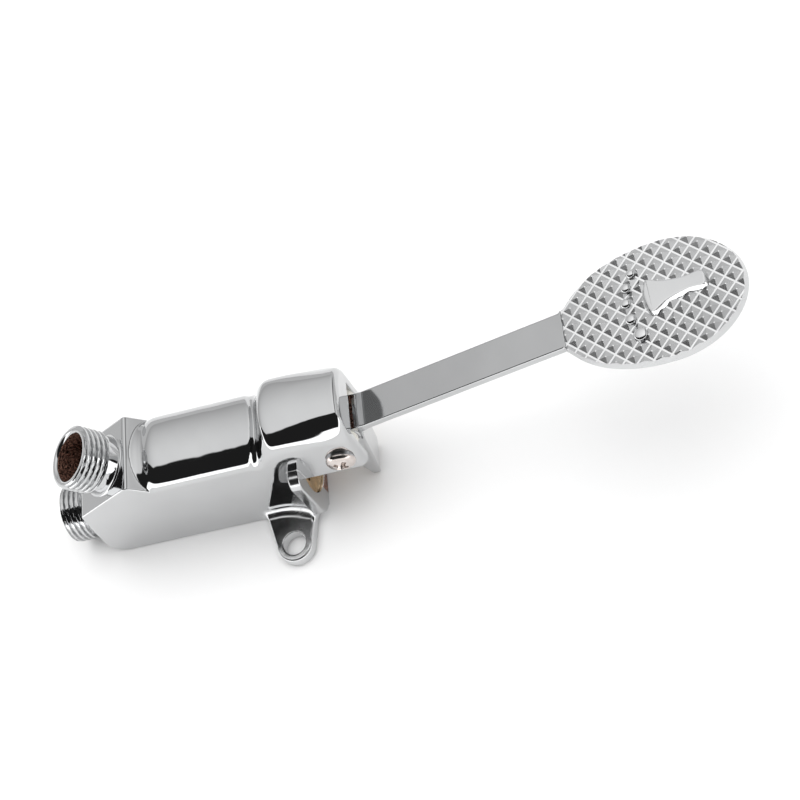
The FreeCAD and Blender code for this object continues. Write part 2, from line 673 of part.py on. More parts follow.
PIECES = {
    "body_casting": body_casting,
    "seat_insert": seat_insert,
    "seat_o_ring": seat_o_ring,
    "valve_stem": valve_stem,
    "seal_washer": seal_washer,
    "valve_seal": valve_seal,
    "valve_disc": valve_disc,
    "disc_nut": disc_nut,
    "spring_washer": spring_washer,
    "return_spring": return_spring,
    "gland_plug": gland_plug,
    "gland_gasket": gland_gasket,
    "gland_bush": gland_bush,
    "stem_o_rings": stem_o_rings,
    "pocket_ring": pocket_ring,
    "stem_wiper": stem_wiper,
    "pivot_screw": pivot_screw,
    "pivot_lock_washer": pivot_lock_washer,
    "thrust_washers": thrust_washers,
    "lever_sleeve": lever_sleeve,
    "lever": lever,
}

for piece_name, make_piece in PIECES.items():
    save(piece_name, make_piece())
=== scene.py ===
import math

import bmesh
import bpy
import numpy as np
from mathutils import Matrix, Vector


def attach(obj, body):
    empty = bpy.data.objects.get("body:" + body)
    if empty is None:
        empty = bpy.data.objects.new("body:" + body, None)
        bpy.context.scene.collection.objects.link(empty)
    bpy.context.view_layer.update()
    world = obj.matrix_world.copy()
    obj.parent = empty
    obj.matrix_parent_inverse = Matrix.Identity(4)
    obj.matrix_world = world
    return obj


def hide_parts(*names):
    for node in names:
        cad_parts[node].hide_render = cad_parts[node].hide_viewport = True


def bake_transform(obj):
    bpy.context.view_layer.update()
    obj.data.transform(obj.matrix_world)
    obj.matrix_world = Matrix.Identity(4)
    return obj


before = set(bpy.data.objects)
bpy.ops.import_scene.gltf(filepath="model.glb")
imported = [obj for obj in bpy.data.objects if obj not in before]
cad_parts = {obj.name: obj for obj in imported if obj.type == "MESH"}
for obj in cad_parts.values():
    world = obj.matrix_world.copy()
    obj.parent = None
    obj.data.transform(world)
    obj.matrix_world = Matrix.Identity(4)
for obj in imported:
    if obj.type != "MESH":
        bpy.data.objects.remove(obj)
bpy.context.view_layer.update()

# Shapes are worked out in millimetres, in the CAD frame, and turned into metres when a mesh is made.
MM = 0.001

# ---------------------------------------------------------------- body sizes
# side walls, bore axis, and the two pipe-end faces in side view
HALF_WIDTH = 13.15
BORE_Z = 17.0
APEX = (-63.4, 31.4)
SLOPE = math.radians(31.3)
HEEL = (-66.0, 9.5)
HEEL_R = 8.0

# hood, and the room in it for the lever
HOOD_FRONT = 33.5
CHEEK_BOTTOM = 23.2
SLOT_HALF = 8.55
FRONT_WALL = 3.2
ROOM_TOP = 43.6
MOUTH_TOP = 40.2

# end block, whose top falls from an edge, and the valley and drop at the barrel's end beside it
BLOCK_TOP, BLOCK_EDGE_X, BLOCK_FALL = 44.4, -41.2, 1.08
VALLEY_X, VALLEY_DEPTH, VALLEY_WIDTH = -36.6, 1.3, 2.6
DROP_X, DROP_DEPTH = (-44.0, -37.0), 3.0

# groove between barrel and hood: each station's X in the middle, and its change towards the sides
GROOVE_DEPTH = 1.25
HOOD_RISE = ((3.6, -1.6), (6.8, 2.4))
GROOVE_OPENS = ((2.0, -3.2), (2.9, -3.0))
GROOVE_CLOSES = ((4.4, -1.6), (6.4, -1.2))

# arched sections of the top
BARREL = dict(crest=44.8, crown=23.0, shoulder_at=9.0, shoulder=8.2)
HOOD_REAR = dict(crest=51.3, crown=26.0, shoulder_at=9.6, shoulder=6.0)
HOOD_FACE = dict(crest=51.3, crown=26.0, shoulder_at=5.6, shoulder=8.6, steepest=54.0)

# gland plate with its flares, and the two floor ears
PLATE_BACK, PLATE_FRONT, PLATE_HALF, PLATE_TOP = 8.3, 12.0, 18.5, 31.0
FLARE_FOOT, FLARE_LEAN, FLARE_R = -7.2, math.radians(24.0), 20.0
EAR_Y, EAR_R, EAR_HOLE_R, EAR_THICK = 25.9, 6.3, 3.8, 4.5
EAR_ROOT_Y, EAR_ROOT_HALF = 12.0, 9.15

# stepped bore along the stem, as radius and two stations, and the passages to the pipe ends
BORE_STEPS = (
    (14.2, 8.3, 14.0), (11.0, -2.0, 9.0), (9.5, -18.0, -1.0),
    (9.0, -22.0, -17.0), (8.3, -40.0, -21.0), (6.8, -48.0, -39.0),
)
PASSAGE_R, PASSAGE_Z = 5.0, 33.6
SHAFT_X = -10.0

# pipe ends: mouth, direction inward, bore and neck
PIPE_BORE_R = 7.8
NECK_R = 9.6
OUTLET_MOUTH = np.array((-58.3, 0.0, 50.3))
OUTLET_IN = np.array((math.sin(SLOPE), 0.0, -math.cos(SLOPE)))
INLET_MOUTH = np.array((-76.9, 0.0, 11.2))
INLET_IN = np.array((1.0, 0.0, 0.0))

# G1/2 pipe thread, and the radius of the chamfered rim it starts from
THREAD_CREST, THREAD_ROOT, THREAD_PITCH = 10.46, 9.32, 1.814
THREAD_RIM = THREAD_CREST - 0.85

# turned mouth of a pipe end, from the bore to the rim: distance from the mouth, radius, raw metal or not
MOUTH_R = PIPE_BORE_R - 0.03
MOUTH_PROFILE = (
    (3.0, MOUTH_R, 1), (1.1, MOUTH_R, 1), (0.75, MOUTH_R + 0.02, 0), (0.28, MOUTH_R + 0.42, 0),
    (0.06, MOUTH_R + 0.66, 0), (0.0, MOUTH_R + 0.8, 0), (0.0, THREAD_RIM - 0.25, 0),
    (0.05, THREAD_RIM - 0.08, 0),
)

# ---------------------------------------------------------------- pivot sizes
PIVOT = (27.0, 32.1)
PIVOT_HOLE_R = 3.05
SCREW_HEAD_R, SCREW_HEAD_HEIGHT, SCREW_DOME_R = 4.87, 2.5, 8.2
SCREW_SHANK_R, SCREW_TIP_Y = 3.0, 12.95

# out from the side wall: the head's underside, and the shank's end inside the head
SCREW_LIFT, SHANK_LIFT = 0.7, 0.75

# cross recess: each size at the mouth, and how much it shrinks for a millimetre of depth
RECESS_TURN = math.radians(52)
RECESS_MOUTH, RECESS_FLOOR = 2.6, 0.55
BLADE_HALF, BLADE_REACH, RECESS_CORE = (0.85, 0.14), (3.2, 0.9), (1.6, 0.3)

# ---------------------------------------------------------------- lever sizes
# straight arm from its root to the bend
ARM_HALF = 6.1
ARM_SLOPE = math.radians(15.6)
ARM_START = (37.2, 37.0)
ARM_THICK = 3.0
BEND_X = 107.5
BEND_Z = ARM_START[1] + math.tan(ARM_SLOPE) * (BEND_X - ARM_START[0])
HUB_R, HUB_HOLE_R = 6.6, 4.3

# egg-shaped pad: its centre from the bend, half-width, reach on both sides of the centre, and its neck
PAD_SLOPE = math.radians(9.0)
PAD_CENTRE, PAD_HALF, PAD_BACK, PAD_FRONT = 30.4, 19.8, 32.2, 24.7
PAD_THICK = 3.5
WAIST_HALF, WAIST_LENGTH = 5.5, 20

# knurl: where the pad's rough part starts, and the size, phase, origin and depth of its cells
KNURL_START = -1.0
KNURL_STEP = 2.7415
KNURL_PHASE = (0.207, 0.223)
KNURL_ORIGIN = -6.58
KNURL_DEPTH = 0.66
KNURL_FIRST_ROW, KNURL_LAST_ROW, KNURL_SIDE_ROWS = -2, 27, 9

# foot sign, from the bend: corners of the sole, and place and radius of each toe
FOOT_SOLE = (
    (24.4, 1.8), (24.9, 5.2), (26.3, 7.4), (31.0, 5.7), (37.0, 4.8), (42.3, 5.1), (44.1, 3.0),
    (43.2, -0.9), (37.6, -0.9), (31.6, -2.3), (27.4, -4.6), (25.4, -3.4),
)
FOOT_TOES = (
    (21.8, -9.5, 2.15), (19.7, -3.9, 1.7), (19.0, 1.6, 1.6), (19.8, 6.6, 1.55), (22.0, 10.8, 1.45),
)

# ---------------------------------------------------------------- finishes
TURNING_PITCH = 0.00022


# ---------------------------------------------------------------- distance fields
def round_and(a, b, r):
    """Common part of two solids with a round edge of radius r."""
    outside = np.hypot(np.maximum(a + r, 0), np.maximum(b + r, 0))
    return np.minimum(-r, np.maximum(a, b)) + outside


def round_or(a, b, r):
    """Union of two solids with a hollow fillet of radius r."""
    inside = np.hypot(np.maximum(r - a, 0), np.maximum(r - b, 0))
    return np.maximum(r, np.minimum(a, b)) - inside


def cut(a, b, r=0.0):
    """First solid less the second, with a round edge of radius r."""
    return round_and(a, -b, r) if r else np.maximum(a, -b)


def rod(x, y, z, start, along, radius, length):
    """Round bar from a start point along a direction in the plane of symmetry."""
    dx, dz = x - start[0], z - start[2]
    s = dx * along[0] + dz * along[2]
    across = dx * along[2] - dz * along[0]
    return np.maximum(np.hypot(across, y) - radius, np.abs(s - length / 2) - length / 2)


def rod_x(x, y, z, radius, x_from, x_to, centre_z=BORE_Z):
    """Round bar along X between two stations."""
    return np.maximum(np.hypot(y, z - centre_z) - radius, np.maximum(x_from - x, x - x_to))


def box(x, y, z, x_from, x_to, half, z_from, z_to):
    """Block centred on the plane of symmetry."""
    return np.maximum(
        np.maximum(np.maximum(x_from - x, x - x_to), np.abs(y) - half), np.maximum(z_from - z, z - z_to)
    )


def polygon(px, py, points):
    """Distance to a closed outline, negative inside."""
    nearest = np.full(px.shape, 1e9, px.dtype)
    inside = np.zeros(px.shape, bool)
    for k, (ax, ay) in enumerate(points):
        bx, by = points[k - 1]
        ex, ey = bx - ax, by - ay
        wx, wy = px - ax, py - ay
        t = np.clip((wx * ex + wy * ey) / (ex * ex + ey * ey), 0, 1)
        nearest = np.minimum(nearest, (wx - t * ex) ** 2 + (wy - t * ey) ** 2)
        crosses = (ay > py) != (by > py)
        slope = (bx - ax) / (by - ay) if by != ay else 0.0
        inside ^= crosses & (px < ax + slope * (py - ay))
    return np.sqrt(nearest) * np.where(inside, -1, 1)


def ramp(x, start, end, soft):
    """Rises from 0 to 1 between two stations, with rounded corners."""
    def rise(t):
        return 0.5 * (t + np.sqrt(t * t + soft * soft))
    return (rise(x - start) - rise(x - end)) / (end - start)


def arch(y, crest, crown, shoulder_at, shoulder, steepest=75.0):
    """Height of an arched section: a wide crown arc, a tighter shoulder arc, then a straight fall."""
    y = np.minimum(np.abs(y), HALF_WIDTH + 0.4)
    turn = math.asin(shoulder_at / crown)
    on_crown = crest - crown + np.sqrt(np.maximum(crown * crown - y * y, 0.01))
    centre_y = shoulder_at - shoulder * math.sin(turn)
    centre_z = crest - crown + (crown - shoulder) * math.cos(turn)
    reach = shoulder * math.sin(math.radians(steepest))
    out = np.minimum(y - centre_y, reach)
    fall = np.maximum(y - centre_y - reach, 0) * math.tan(math.radians(steepest))
    on_shoulder = centre_z + np.sqrt(np.maximum(shoulder ** 2 - out ** 2, 0.01)) - fall
    return np.where(y < shoulder_at, on_crown, on_shoulder)


def curved_ramp(x, across, stations, soft):
    """Ramp between two stations that move along X towards the sides."""
    (start, start_change), (end, end_change) = stations
    return ramp(x, start + start_change * across, end + end_change * across, soft)


def top_height(x, y):
    """Height of the casting's top: end block, valley, barrel, groove and hood."""
    barrel = arch(y, **BARREL)
    forward = ramp(x, 15.0, 31.0, 2.0)
    hood = arch(y, **HOOD_REAR) * (1 - forward) + arch(y, **HOOD_FACE) * forward
    across = (np.minimum(np.abs(y), HALF_WIDTH) / HALF_WIDTH) ** 2
    past_edge = x - BLOCK_EDGE_X
    block_end = BLOCK_TOP - BLOCK_FALL * 0.5 * (past_edge + np.sqrt(past_edge ** 2 + 0.16))
    to_hood = curved_ramp(x, across, HOOD_RISE, 0.9)
    barrel = barrel - VALLEY_DEPTH * np.exp(-((x - VALLEY_X) / VALLEY_WIDTH) ** 2)
    barrel = barrel - DROP_DEPTH * (1 - ramp(x, *DROP_X, 0.5))
    height = 0.5 * (barrel + block_end + np.sqrt((barrel - block_end) ** 2 + 0.1))
    height = height + to_hood * (hood - height)
    opens = curved_ramp(x, across, GROOVE_OPENS, 0.25)
    groove = GROOVE_DEPTH * opens * (1 - curved_ramp(x, across, GROOVE_CLOSES, 0.7))
    return height - groove


def ripple(x, y, z):
    """The slight waviness of a surface that was polished by hand."""
    return 0.018 * (
        np.sin(0.31 * x + 0.55 * y + 0.8) * np.sin(0.42 * z - 0.27 * x + 1.9)
        + 0.6 * np.sin(0.67 * x - 0.38 * z + 0.4) * np.sin(0.52 * y + 0.33 * x)
    )


def body_block(x, y, z):
    """Flat-sided casting with its two pipe-end faces and its arched top."""
    side = np.abs(y) - HALF_WIDTH
    slope_face = (z - APEX[1]) * math.cos(SLOPE) - (x - APEX[0]) * math.sin(SLOPE)
    run, fall = HEEL[0] - APEX[0], HEEL[1] - APEX[1]
    size = math.hypot(run, fall)
    low_face = ((x - APEX[0]) * fall - (z - APEX[1]) * run) / size
    profile = round_and(low_face, -z, HEEL_R)
    profile = round_and(profile, slope_face, 0.5)
    plan = round_and(x - HOOD_FRONT, side, 2.8)
    step = 0.05
    height = top_height(x, y)
    run_x = (top_height(x + step, y) - height) / step
    run_y = (top_height(x, y + step) - height) / step
    top = (z - height) / np.sqrt(1 + run_x ** 2 + run_y ** 2)
    block = round_and(profile, plan, 0.45)
    edge = 0.5 + 1.9 * np.clip((x - 25.0) / 8.0, 0, 1) ** 2
    return round_and(block, top, edge)


def plate_section(y, z):
    """Outline of the gland plate, seen along the stem."""
    y = np.abs(y)

    def corner(r, dz):
        dy = y - (PLATE_HALF - r)
        return np.hypot(np.maximum(dy, 0), np.maximum(dz, 0)) + np.minimum(np.maximum(dy, dz), 0) - r

    return np.maximum(corner(4.0, z - (PLATE_TOP - 4.0)), corner(9.0, 9.0 - z))


def gland_housing(x, y, z):
    """Plate round the gland with the hollow flares that join it to the side walls."""
    section = plate_section(y, z)
    plate = round_and(section, np.maximum(PLATE_BACK - x, x - PLATE_FRONT), 0.5)
    along = (x - FLARE_FOOT) * math.cos(FLARE_LEAN) - z * math.sin(FLARE_LEAN)
    out = np.abs(y) - HALF_WIDTH
    hollow = np.where(along < 0, -out, np.hypot(along, out - FLARE_R) - FLARE_R)
    flare = np.maximum(section + 0.3, np.maximum(FLARE_FOOT - 2 - x, x - PLATE_BACK - 1))
    return np.minimum(plate, cut(flare, hollow, 0.4))


def ears(x, y, z):
    """Two floor ears with rounded ends."""
    y = np.abs(y)
    t = np.clip((y - EAR_ROOT_Y) / (EAR_Y - EAR_ROOT_Y), 0, 1)
    half = EAR_ROOT_HALF + (EAR_R - EAR_ROOT_HALF) * t
    taper = np.maximum(np.abs(x + 0.25 * (1 - t)) - half, y - EAR_Y)
    plan = np.minimum(taper, np.hypot(x, y - EAR_Y) - EAR_R)
    return np.maximum(round_and(plan, z - EAR_THICK, 0.9), -z)


def bores(x, y, z):
    """All machined and cored hollows of the casting."""
    hollow = rod_x(x, y, z, *BORE_STEPS[0])
    for step in BORE_STEPS[1:]:
        hollow = np.minimum(hollow, rod_x(x, y, z, *step))
    hollow = np.minimum(hollow, rod_x(x, y, z, PIPE_BORE_R, -80.0, -44.0, INLET_MOUTH[2]))
    hollow = np.minimum(hollow, rod(x, y, z, OUTLET_MOUTH, OUTLET_IN, PIPE_BORE_R, 14.0))
    hollow = np.minimum(hollow, rod(x, y, z, OUTLET_MOUTH, OUTLET_IN, PASSAGE_R, 19.5))
    hollow = np.minimum(hollow, rod_x(x, y, z, PASSAGE_R, -48.2, SHAFT_X, PASSAGE_Z))
    shaft = np.hypot(x - SHAFT_X, y) - PASSAGE_R
    return np.minimum(hollow, np.maximum(shaft, np.maximum(BORE_Z - z, z - PASSAGE_Z)))


def body_field(x, y, z):
    """The whole casting without its threads."""
    body = body_block(x, y, z)
    lever_room = np.maximum(PLATE_FRONT - x, z - CHEEK_BOTTOM)
    body = cut(body, lever_room, 0.5)
    body = np.minimum(body, gland_housing(x, y, z))
    body = round_or(body, ears(x, y, z), 3.2)
    body = np.maximum(body, -z)
    for mouth, inward, length in ((OUTLET_MOUTH, OUTLET_IN, 15.5), (INLET_MOUTH, INLET_IN, 13.5)):
        start = mouth + inward * 8.0
        body = round_or(body, rod(x, y, z, start, inward, NECK_R, length - 8.0), 0.9)
    body = cut(body, box(x, y, z, PLATE_FRONT, HOOD_FRONT - FRONT_WALL, SLOT_HALF, -5, ROOM_TOP), 0.3)
    body = cut(body, box(x, y, z, PLATE_FRONT + 5, HOOD_FRONT + 5, SLOT_HALF, -5, MOUTH_TOP), 0.45)
    body = cut(body, bores(x, y, z), 0.25)
    body = cut(body, np.hypot(x, np.abs(y) - EAR_Y) - EAR_HOLE_R, 0.5)
    pivot = np.maximum(np.hypot(x - PIVOT[0], z - PIVOT[1]) - PIVOT_HOLE_R, CHEEK_BOTTOM - z)
    body = cut(body, pivot) + ripple(x, y, z)

    # the ripple doesn't reach below the floor or past the ears
    return np.maximum(body, np.maximum(0.01 - z, np.abs(y) - EAR_Y - EAR_R + 0.01))


# ---------------------------------------------------------------- meshing
def surface_net(field, low, high, step, block=8):
    """Closed quad mesh of a field's zero surface, with its points moved onto the true surface."""
    low, high = np.array(low, float), np.array(high, float)
    blocks = np.ceil((high - low) / (step * block)).astype(int)
    size = blocks * block
    axes = [(low[a] + step * np.arange(size[a])).astype(np.float32) for a in range(3)]
    centres = [low[a] + step * block * (np.arange(blocks[a]) + 0.5) for a in range(3)]
    bx, by, bz = np.meshgrid(*centres, indexing="ij")
    coarse = field(bx, by, bz)
    reach = step * block * 1.1
    values = np.repeat(np.repeat(np.repeat(coarse.astype(np.float32), block, 0), block, 1), block, 2)
    near = np.argwhere(np.abs(coarse) < reach)
    offsets = np.stack(np.meshgrid(*[np.arange(block)] * 3, indexing="ij"), -1).reshape(-1, 3)
    for part in np.array_split(near, max(1, len(near) // 400)):
        index = (part[:, None, :] * block + offsets[None]).reshape(-1, 3)
        found = field(axes[0][index[:, 0]], axes[1][index[:, 1]], axes[2][index[:, 2]])
        values[index[:, 0], index[:, 1], index[:, 2]] = found
    inside = values < 0
    count = np.zeros(size - 1, np.int8)
    corners = [(a, b, c) for a in (0, 1) for b in (0, 1) for c in (0, 1)]

    def corner_of(grid, c):
        return grid[c[0]:size[0] - 1 + c[0], c[1]:size[1] - 1 + c[1], c[2]:size[2] - 1 + c[2]]

    for c in corners:
        count += corner_of(inside, c)
    cells = np.argwhere((count > 0) & (count < 8))
    number = np.full(size - 1, -1, np.int32)
    number[tuple(cells.T)] = np.arange(len(cells))
    total = np.zeros((len(cells), 3))
    hits = np.zeros(len(cells))
    for c in corners:
        for axis in range(3):
            if c[axis]:
                continue
            a, b = cells + c, cells + c
            b = b.copy()
            b[:, axis] += 1
            fa, fb = values[tuple(a.T)], values[tuple(b.T)]
            crossing = (fa < 0) != (fb < 0)
            t = np.where(crossing, fa / np.where(crossing, fa - fb, 1), 0)
            point = a.astype(float)
            point[:, axis] += t
            total += point * crossing[:, None]
            hits += crossing
    points = low + step * total / hits[:, None]
    faces = []
    for axis, (u, v) in enumerate(((1, 2), (2, 0), (0, 1))):
        first = [slice(1, -1)] * 3
        first[axis] = slice(0, -1)
        second = list(first)
        second[axis] = slice(1, None)
        a, b = inside[tuple(first)], inside[tuple(second)]
        edges = np.argwhere(a != b)
        start = edges + [0 if k == axis else 1 for k in range(3)]
        outward = a[tuple(edges.T)]
        ring = []
        for du, dv in ((-1, -1), (0, -1), (0, 0), (-1, 0)):
            cell = start.copy()
            cell[:, u] += du
            cell[:, v] += dv
            ring.append(number[tuple(cell.T)])
        quad = np.stack(ring, 1)
        faces.append(np.where(outward[:, None], quad, quad[:, ::-1]))
    faces = np.concatenate(faces)
    for _ in range(4):
        distance, slope = field_slope(field, points)
        power = np.maximum((slope ** 2).sum(1), 0.05)
        move = np.clip(distance / power, -0.5 * step, 0.5 * step)
        points = points - slope * move[:, None]
    _, normals = field_slope(field, points)
    normals /= np.maximum(np.linalg.norm(normals, axis=1), 1e-6)[:, None]
    return points, faces, normals


def field_slope(field, points, step=0.03):
    """Value and gradient of a field at points."""
    x, y, z = points.T
    slope = np.stack([
        field(x + step, y, z) - field(x - step, y, z),
        field(x, y + step, z) - field(x, y - step, z),
        field(x, y, z + step) - field(x, y, z - step),
    ], 1) / (2 * step)
    return field(x, y, z), slope


def new_object(name, data):
    """Object in the scene, made from its data."""
    made = bpy.data.objects.new(name, data)
    bpy.context.scene.collection.objects.link(made)
    return made


def mesh_object(name, points, faces, materials, normals=None, slots=None):
    """Object from points in millimetres and faces, smooth shaded."""
    data = bpy.data.meshes.new(name)
    data.from_pydata((np.asarray(points) * MM).tolist(), [], [list(map(int, f)) for f in faces])
    for material in materials:
        data.materials.append(material)
    if slots is not None:
        data.polygons.foreach_set("material_index", np.asarray(slots, np.int32))
    data.polygons.foreach_set("use_smooth", np.ones(len(data.polygons), bool))
    data.update()
    if normals is not None:
        data.normals_split_custom_set_from_vertices(normals.tolist())
    return new_object(name, data)


def band(count, low, high):
    """Faces between two rings of points, where every ring has the same count of points."""
    faces = []
    for k in range(count):
        after = (k + 1) % count
        faces.append((low * count + k, low * count + after, high * count + after, high * count + k))
    return faces


# ---------------------------------------------------------------- materials
def new_material(name, color, metallic, roughness):
    """Principled material with uniform values on its own sockets."""
    material = bpy.data.materials.new(name)
    material.use_nodes = True
    shader = material.node_tree.nodes["Principled BSDF"]
    shader.inputs["Base Color"].default_value = (*color, 1)
    shader.inputs["Metallic"].default_value = metallic
    shader.inputs["Roughness"].default_value = roughness
    return material


def add_noise(material, scale, detail):
    """Noise in the object's own space. Scale is in features per metre."""
    tree = material.node_tree
    place = tree.nodes.new("ShaderNodeTexCoord")
    noise = tree.nodes.new("ShaderNodeTexNoise")
    noise.inputs["Scale"].default_value = scale
    noise.inputs["Detail"].default_value = detail
    tree.links.new(place.outputs["Object"], noise.inputs["Vector"])
    return noise.outputs["Fac"]


def spread(material, source, socket, low, high):
    """Feeds a 0 to 1 source to a number socket, between two values."""
    tree = material.node_tree
    node = tree.nodes.new("ShaderNodeMapRange")
    node.inputs["From Min"].default_value = 0.3
    node.inputs["From Max"].default_value = 0.7
    node.inputs["To Min"].default_value = low
    node.inputs["To Max"].default_value = high
    tree.links.new(source, node.inputs["Value"])
    tree.links.new(node.outputs["Result"], tree.nodes["Principled BSDF"].inputs[socket])


def tint(material, source, low, high):
    """Mixes the base colour between two colours."""
    tree = material.node_tree
    node = tree.nodes.new("ShaderNodeValToRGB")
    node.color_ramp.elements[0].position = 0.32
    node.color_ramp.elements[0].color = (*low, 1)
    node.color_ramp.elements[1].position = 0.68
    node.color_ramp.elements[1].color = (*high, 1)
    tree.links.new(source, node.inputs["Fac"])
    tree.links.new(node.outputs["Color"], tree.nodes["Principled BSDF"].inputs["Base Color"])


def bump(material, source, depth):
    """Raises the surface by a source, with depth in metres."""
    tree = material.node_tree
    node = tree.nodes.new("ShaderNodeBump")
    node.inputs["Strength"].default_value = 1.0
    node.inputs["Distance"].default_value = depth
    tree.links.new(source, node.inputs["Height"])
    tree.links.new(node.outputs["Normal"], tree.nodes["Principled BSDF"].inputs["Normal"])


def chrome(name, color, rough_low, rough_high, wave):
    """Polished plating: faint waves, cloudy gloss and a slight change of tone."""
    material = new_material(name, color, 1.0, rough_low)
    spread(material, add_noise(material, 90, 4), "Roughness", rough_low, rough_high)
    tint(material, add_noise(material, 35, 2), [0.96 * c for c in color], [1.03 * c for c in color])
    bump(material, add_noise(material, 160, 2), wave)
    return material


def rough_casting():
    """Unplated inside of the pipe ends: dark red-brown cast brass with bright grains."""
    material = new_material("bore_casting", (0.09, 0.035, 0.025), 0.85, 0.45)
    grain = add_noise(material, 1300, 6)
    tint(material, grain, (0.012, 0.006, 0.005), (0.5, 0.27, 0.2))
    spread(material, add_noise(material, 900, 3), "Roughness", 0.12, 0.55)
    bump(material, grain, 0.0012)
    return material


def turned(name, color, rough, centre, axis_name):
    """Lathe-turned metal with fine rings round an axis through a centre."""
    material = new_material(name, color, 1.0, rough)
    tree = material.node_tree
    place = tree.nodes.new("ShaderNodeTexCoord")
    mapping = tree.nodes.new("ShaderNodeMapping")
    mapping.inputs["Location"].default_value = [-c for c in centre]
    wave = tree.nodes.new("ShaderNodeTexWave")
    wave.wave_type = "RINGS"
    wave.rings_direction = axis_name
    wave.inputs["Scale"].default_value = 0.05 / TURNING_PITCH * math.pi
    wave.inputs["Distortion"].default_value = 0.4
    wave.inputs["Detail"].default_value = 1.0
    tree.links.new(place.outputs["Object"], mapping.inputs["Vector"])
    tree.links.new(mapping.outputs["Vector"], wave.inputs["Vector"])
    spread(material, add_noise(material, 600, 4), "Roughness", rough * 0.75, rough * 1.4)
    tint(material, add_noise(material, 260, 4), [0.82 * c for c in color], [1.1 * c for c in color])
    bump(material, wave.outputs["Fac"], 0.000015)
    return material


def moulded(name, color, rough):
    """Rubber, plastic or fibre with a fine matt grain."""
    material = new_material(name, color, 0.0, rough)
    tint(material, add_noise(material, 400, 4), [0.8 * c for c in color], [1.15 * c for c in color])
    spread(material, add_noise(material, 900, 3), "Roughness", rough * 0.85, min(1.0, rough * 1.15))
    bump(material, add_noise(material, 2500, 3), 0.00002)
    return material


stem_centre = (0.0, 0.0, BORE_Z * MM)
pivot_centre = (PIVOT[0] * MM, 0.0, PIVOT[1] * MM)
body_chrome = chrome("body_chrome", (0.575, 0.58, 0.585), 0.025, 0.06, 0.00003)
satin_chrome = chrome("satin_chrome", (0.64, 0.645, 0.65), 0.14, 0.3, 0.00012)
lever_chrome = chrome("lever_chrome", (0.56, 0.565, 0.57), 0.05, 0.11, 0.00003)
pad_chrome = chrome("pad_chrome", (0.62, 0.625, 0.63), 0.22, 0.32, 0.00004)
sign_chrome = chrome("sign_chrome", (0.70, 0.705, 0.71), 0.08, 0.16, 0.00004)
# much brighter chrome for the knurl's flat groove floors and point tips: a painted highlight standing in
# for the shine of rounded grooves and worn points
painted_highlight_chrome = chrome("painted_highlight_chrome", (0.92, 0.925, 0.93), 0.12, 0.2, 0.00002)
bore_casting = rough_casting()
brass = turned("brass", (0.62, 0.40, 0.17), 0.24, stem_centre, "X")
steel = turned("steel", (0.55, 0.55, 0.54), 0.2, stem_centre, "X")
screw_steel = turned("screw_steel", (0.66, 0.60, 0.57), 0.16, pivot_centre, "Y")
spring_steel = turned("spring_steel", (0.4, 0.4, 0.41), 0.3, stem_centre, "X")
rubber = moulded("rubber", (0.025, 0.025, 0.027), 0.6)
bearing_plastic = moulded("bearing_plastic", (0.78, 0.76, 0.70), 0.45)
gasket_fibre = moulded("gasket_fibre", (0.32, 0.10, 0.06), 0.8)


# ---------------------------------------------------------------- casting
def make_casting():
    """The casting: raw metal in bores and lever room, satin on plate, flares and ears, the rest bright."""
    points, faces, normals = surface_net(body_field, (-67.2, -33.6, -1.2), (34.8, 33.6, 51.8), 0.42)
    x, y, z = points[faces].mean(1).T
    side = np.abs(y)
    in_bore = (bores(x, y, z) < 0.35) & (x < PLATE_BACK + 0.3)
    in_room = (x > PLATE_FRONT - 0.2) & (x < HOOD_FRONT - 1.2)
    in_room &= (side < SLOT_HALF + 0.2) & (z < ROOM_TOP + 0.6)
    on_flare = (side > HALF_WIDTH + 0.5) & (x < PLATE_FRONT - 0.6) & (z < PLATE_TOP)
    finish = np.where(on_flare, 2, np.where(in_bore | in_room, 1, 0))
    made = mesh_object("casting", points, faces, (body_chrome, bore_casting, satin_chrome), normals, finish)
    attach(made, "valve_body")
    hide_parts("body_casting")


def thread_radius(turn, s, length):
    """Radius of a pipe thread at a part of a turn and a distance from the mouth."""
    phase = np.mod(s / THREAD_PITCH - turn, 1.0)
    tooth = np.clip(1.65 - 4.3 * np.abs(phase - 0.5), 0, 1)
    tooth = tooth * tooth * (3 - 2 * tooth)
    fade = np.clip((length - s) / 1.2, 0, 1)
    radius = THREAD_ROOT + (THREAD_CREST - THREAD_ROOT) * tooth
    radius = NECK_R + (radius - NECK_R) * fade
    return np.minimum(radius, THREAD_RIM + np.maximum(s, 0) * 1.1)


def make_pipe_end(name, mouth, inward, thread, length):
    """Threaded pipe end: turned mouth with a small chamfer, helical thread, neck and raw bore."""
    around = 160
    side = np.array((0.0, 1.0, 0.0))
    up = np.cross(inward, side)
    turns = np.arange(around) / around
    angle = 2 * np.pi * turns
    circle = np.outer(np.cos(angle), side) + np.outer(np.sin(angle), up)
    points, slots = [], []
    for s, radius, raw in ((length, MOUTH_R, 1), *MOUTH_PROFILE):
        points.append(mouth + inward * s + circle * radius)
        slots.append(raw)
    start, spacing = 0.16, 0.11
    count = int(thread / spacing)
    for k in range(count + 1):
        s = start + k * (thread - start) / count
        points.append(mouth + inward * s + circle * thread_radius(turns, s, thread)[:, None])
        slots.append(0)
    points.append(mouth + inward * length + circle * NECK_R)
    slots.append(0)
    faces, face_slots = [], []
    for r in range(len(points)):
        faces += band(around, r, (r + 1) % len(points))
        face_slots += [slots[r]] * around
    points = np.concatenate(points)
    made = mesh_object(name, points, faces, (body_chrome, bore_casting), None, face_slots)
    fix_normals(made)
    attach(made, "valve_body")


